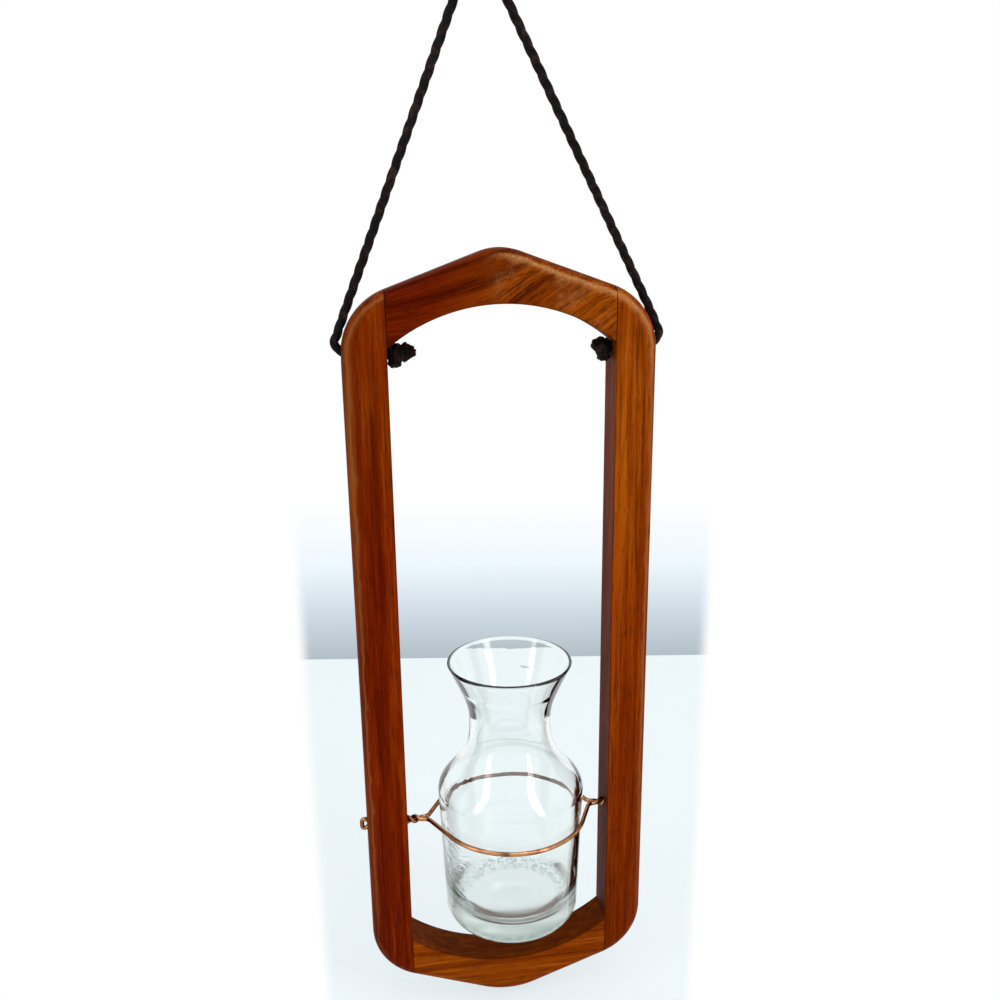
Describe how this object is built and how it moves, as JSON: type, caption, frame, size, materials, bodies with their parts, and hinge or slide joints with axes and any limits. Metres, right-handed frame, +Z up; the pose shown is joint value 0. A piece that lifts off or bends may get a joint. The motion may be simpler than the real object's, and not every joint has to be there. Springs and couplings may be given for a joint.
{
  "type": "hanging glass vase",
  "caption": "Small glass carafe vase held by a twisted copper wire ring that swings inside an upright wooden frame, hung from a hook by a knotted cord.",
  "frame": {"origin": "where the cord sits on its hook, at the inside of the cord's highest bend", "axes": "+Z up, +X to the right of the frame as seen from the front, +Y to its back; the wooden frame's middle plane is y = 0"},
  "size_m": [0.1255, 0.0646, 0.4183],
  "materials": {
    "left_stile_wood": "reddish brown hardwood with fine upright grain, oiled to a semi-gloss",
    "right_stile_wood": "reddish brown hardwood with fine upright grain, oiled to a semi-gloss",
    "top_rail_wood": "reddish brown hardwood with level grain, figured at one end, oiled to a semi-gloss",
    "bottom_rail_wood": "orange brown hardwood with level grain, oiled to a semi-gloss",
    "dowel_wood": "plain pale hardwood, unfinished",
    "cord": "dark brown laid cord of three strands, slightly waxed",
    "copper_wire": "bright copper wire, lightly browned",
    "clear_glass": "clear pressed glass with a slight green cast at its edges"
  },
  "bodies": {
    "cord": {"hanging_cord": "cord", "left_knot": "cord", "right_knot": "cord"},
    "frame": {"left_stile": "left_stile_wood", "right_stile": "right_stile_wood", "top_rail": "top_rail_wood", "bottom_rail": "bottom_rail_wood", "top_left_dowels": "dowel_wood", "top_right_dowels": "dowel_wood", "bottom_left_dowels": "dowel_wood", "bottom_right_dowels": "dowel_wood"},
    "holder": {"wire_holder": "copper_wire"},
    "vase": {"glass_vase": "clear_glass"}
  },
  "joints": [
    {"name": "frame_swing", "type": "hinge", "parent": "cord", "child": "frame", "pos_m": [0.006, 0, -0.1308], "axis": [1, 0, 0], "range_deg": [-20, 20]},
    {"name": "holder_swing", "type": "hinge", "parent": "frame", "child": "holder", "pos_m": [0.00815, 0, -0.327], "axis": [1, 0, 0], "range_deg": [-60, 60]},
    {"name": "vase_lift", "type": "slide", "parent": "holder", "child": "vase", "axis": [0, 0, 1], "range_m": [0, 0.07]}
  ]
}
